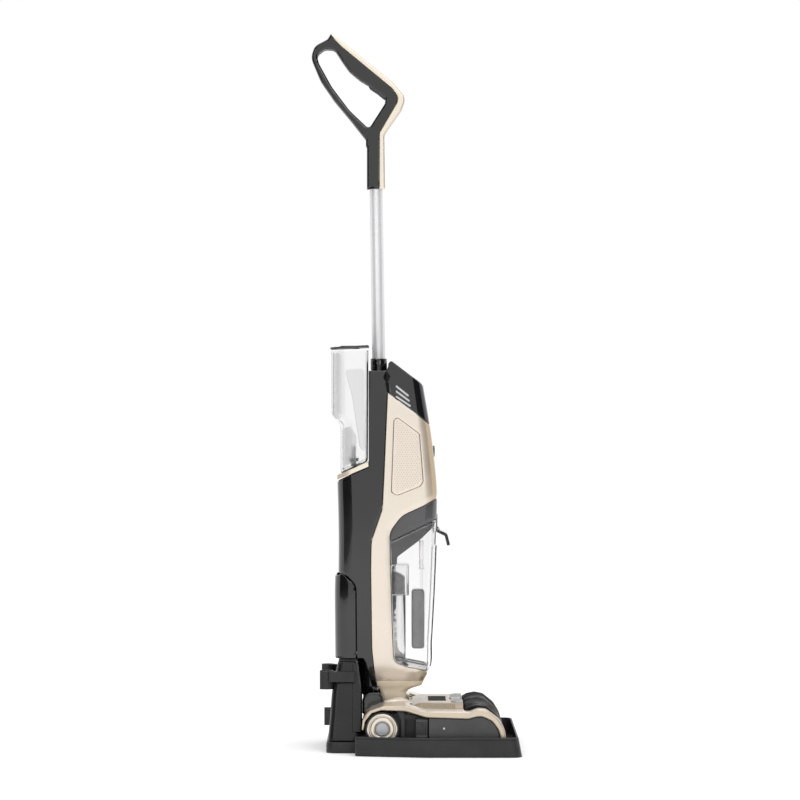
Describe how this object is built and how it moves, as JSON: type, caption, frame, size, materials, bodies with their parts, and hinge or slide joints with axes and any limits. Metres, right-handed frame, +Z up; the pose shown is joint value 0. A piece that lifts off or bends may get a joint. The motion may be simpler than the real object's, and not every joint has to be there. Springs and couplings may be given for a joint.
{
  "type": "wet dry floor scrubber",
  "caption": "Cordless upright wet and dry floor scrubber with clear water tanks, a covered brush roll and a charging dock; lifts off, reclines, tanks pull out.",
  "frame": {"origin": "point on the dock's flat underside, below the middle of the machine and a little ahead of the recline pivot", "axes": "+X forward, towards the brush roll; +Y to the machine's left; +Z up along the handle tube"},
  "size_m": [0.331, 0.32, 1.1375],
  "materials": {
    "gold_paint": "metallic champagne, glossy",
    "gold_trim": "metallic champagne, satin",
    "black_gloss": "piano black, polished",
    "black_satin": "satin black",
    "dock_black": "moulded black, fine grain",
    "dark_grey": "satin dark grey",
    "mid_grey": "satin grey",
    "light_grey": "satin light grey",
    "clear_tank": "clear moulded plastic",
    "smoke_window": "smoked clear plastic",
    "tube_metal": "anodised, fine brushed",
    "motor_metal": "plain steel",
    "wheel_cream": "metallic cream",
    "tyre_rubber": "soft rubber",
    "soft_rubber": "soft rubber",
    "brush_pile": "short dense pile",
    "cell_wrap": "shrink wrap",
    "board_green": "solder mask",
    "hose_grey": "ribbed hose",
    "contact_brass": "plated",
    "panel_glass": "polished black pane"
  },
  "bodies": {
    "dock": {"dock_tray": "dock_black", "dock_tower": "dock_black", "dock_pads": "soft_rubber", "contact_block": "black_satin", "contact_pins": "contact_brass", "accessory_clips": "dock_black", "power_inlet": "black_satin"},
    "foot": {"foot_cover": "gold_paint", "deck_panel": "gold_paint", "foot_chassis": "black_satin", "side_panels": "dark_grey", "side_latches": "dark_grey", "brush_motor": "motor_metal", "suction_nozzle": "black_satin", "squeegee": "soft_rubber", "spray_bar": "black_satin", "wheel_axles": "mid_grey", "drive_belt": "soft_rubber"},
    "wheel_left": {"wheel_hub_left": "wheel_cream", "tyre_left": "tyre_rubber"},
    "wheel_right": {"wheel_hub_right": "wheel_cream", "tyre_right": "tyre_rubber"},
    "brush": {"brush_core": "dark_grey", "brush_fibre": "brush_pile"},
    "motor_pulley": {"motor_pulley": "mid_grey"},
    "brush_cover": {"brush_cover": "smoke_window"},
    "cover_latch": {"cover_latch": "light_grey"},
    "upright": {"neck": "gold_paint", "front_housing": "gold_paint", "rear_housing": "black_gloss", "top_cover": "black_gloss", "side_grilles": "gold_trim", "display_panel": "panel_glass", "handle_tube": "tube_metal", "tube_collar": "black_gloss", "handle_trim": "gold_paint", "handle_shell_left": "black_gloss", "handle_shell_right": "black_gloss", "trigger_pin": "motor_metal", "suction_motor": "motor_metal", "control_board": "board_green", "water_pump": "mid_grey", "suction_hose": "hose_grey", "battery_pack": "black_gloss", "battery_cells": "cell_wrap", "tank_seat": "gold_trim"},
    "motor_fan": {"motor_fan": "dark_grey"},
    "trigger": {"trigger": "black_satin"},
    "power_button": {"power_button": "light_grey"},
    "mode_button": {"mode_button": "light_grey"},
    "release_button": {"release_button": "black_gloss"},
    "clean_tank": {"clean_tank": "clear_tank", "clean_tank_lid": "clear_tank", "tank_valve": "mid_grey"},
    "clean_tank_cap": {"clean_tank_cap": "black_satin"},
    "dirty_tank": {"dirty_tank": "clear_tank", "dirty_tank_lid": "black_gloss", "separator": "clear_tank"},
    "float": {"float": "mid_grey"},
    "tank_latch": {"tank_latch": "black_gloss"}
  },
  "joints": [
    {"name": "lift_off", "type": "slide", "parent": "dock", "child": "foot", "axis": [0, 0, 1], "range_m": [0, 0.3]},
    {"name": "recline", "type": "hinge", "parent": "foot", "child": "upright", "pos_m": [-0.014, 0, 0.049], "axis": [0, -1, 0], "range_deg": [0, 60]},
    {"name": "wheel_left_spin", "type": "hinge", "parent": "foot", "child": "wheel_left", "pos_m": [-0.0277, 0, 0.0412], "axis": [0, 1, 0], "continuous": true},
    {"name": "wheel_right_spin", "type": "hinge", "parent": "foot", "child": "wheel_right", "pos_m": [-0.0277, 0, 0.0412], "axis": [0, 1, 0], "continuous": true},
    {"name": "brush_spin", "type": "hinge", "parent": "foot", "child": "brush", "pos_m": [0.128, 0, 0.04], "axis": [0, 1, 0], "continuous": true},
    {"name": "pulley_spin", "type": "hinge", "parent": "foot", "child": "motor_pulley", "pos_m": [0.066, 0, 0.041], "axis": [0, 1, 0], "continuous": true},
    {"name": "cover_lift", "type": "slide", "parent": "foot", "child": "brush_cover", "axis": [0, 0, 1], "range_m": [0, 0.05]},
    {"name": "cover_latch_press", "type": "slide", "parent": "foot", "child": "cover_latch", "axis": [0, 0, -1], "range_m": [0, 0.0015], "stiffness_N_per_m": 400},
    {"name": "fan_spin", "type": "hinge", "parent": "upright", "child": "motor_fan", "pos_m": [0.012, 0, 0.49], "axis": [0, 0, 1], "continuous": true},
    {"name": "trigger_pull", "type": "hinge", "parent": "upright", "child": "trigger", "pos_m": [-0.0246, 0, 1.0406], "axis": [0, 1, 0], "range_deg": [0, 5.5], "stiffness_Nm_per_rad": 0.5},
    {"name": "power_press", "type": "slide", "parent": "upright", "child": "power_button", "axis": [-0.6088, 0, -0.7934], "range_m": [0, 0.0015], "stiffness_N_per_m": 400},
    {"name": "mode_press", "type": "slide", "parent": "upright", "child": "mode_button", "axis": [-0.6088, 0, -0.7934], "range_m": [0, 0.0015], "stiffness_N_per_m": 400},
    {"name": "release_press", "type": "slide", "parent": "upright", "child": "release_button", "axis": [-1, 0, 0], "range_m": [0, 0.0015], "stiffness_N_per_m": 500},
    {"name": "clean_tank_lift", "type": "slide", "parent": "upright", "child": "clean_tank", "axis": [0, 0, 1], "range_m": [0, 0.2]},
    {"name": "cap_lift", "type": "slide", "parent": "clean_tank", "child": "clean_tank_cap", "axis": [0, 0, 1], "range_m": [0, 0.03]},
    {"name": "dirty_tank_pull", "type": "slide", "parent": "upright", "child": "dirty_tank", "axis": [1, 0, 0], "range_m": [0, 0.13]},
    {"name": "float_rise", "type": "slide", "parent": "dirty_tank", "child": "float", "axis": [0, 0, 1], "range_m": [0, 0.02]},
    {"name": "latch_squeeze", "type": "hinge", "parent": "dirty_tank", "child": "tank_latch", "pos_m": [0.0608, 0, 0.3493], "axis": [0, 1, 0], "range_deg": [0, 12], "stiffness_Nm_per_rad": 0.4}
  ],
  "couplings": [
    {"joint": "recline", "follows": "lift_off", "rad_per_m": 3.49},
    {"joint": "pulley_spin", "follows": "brush_spin", "ratio": 2.5}
  ]
}
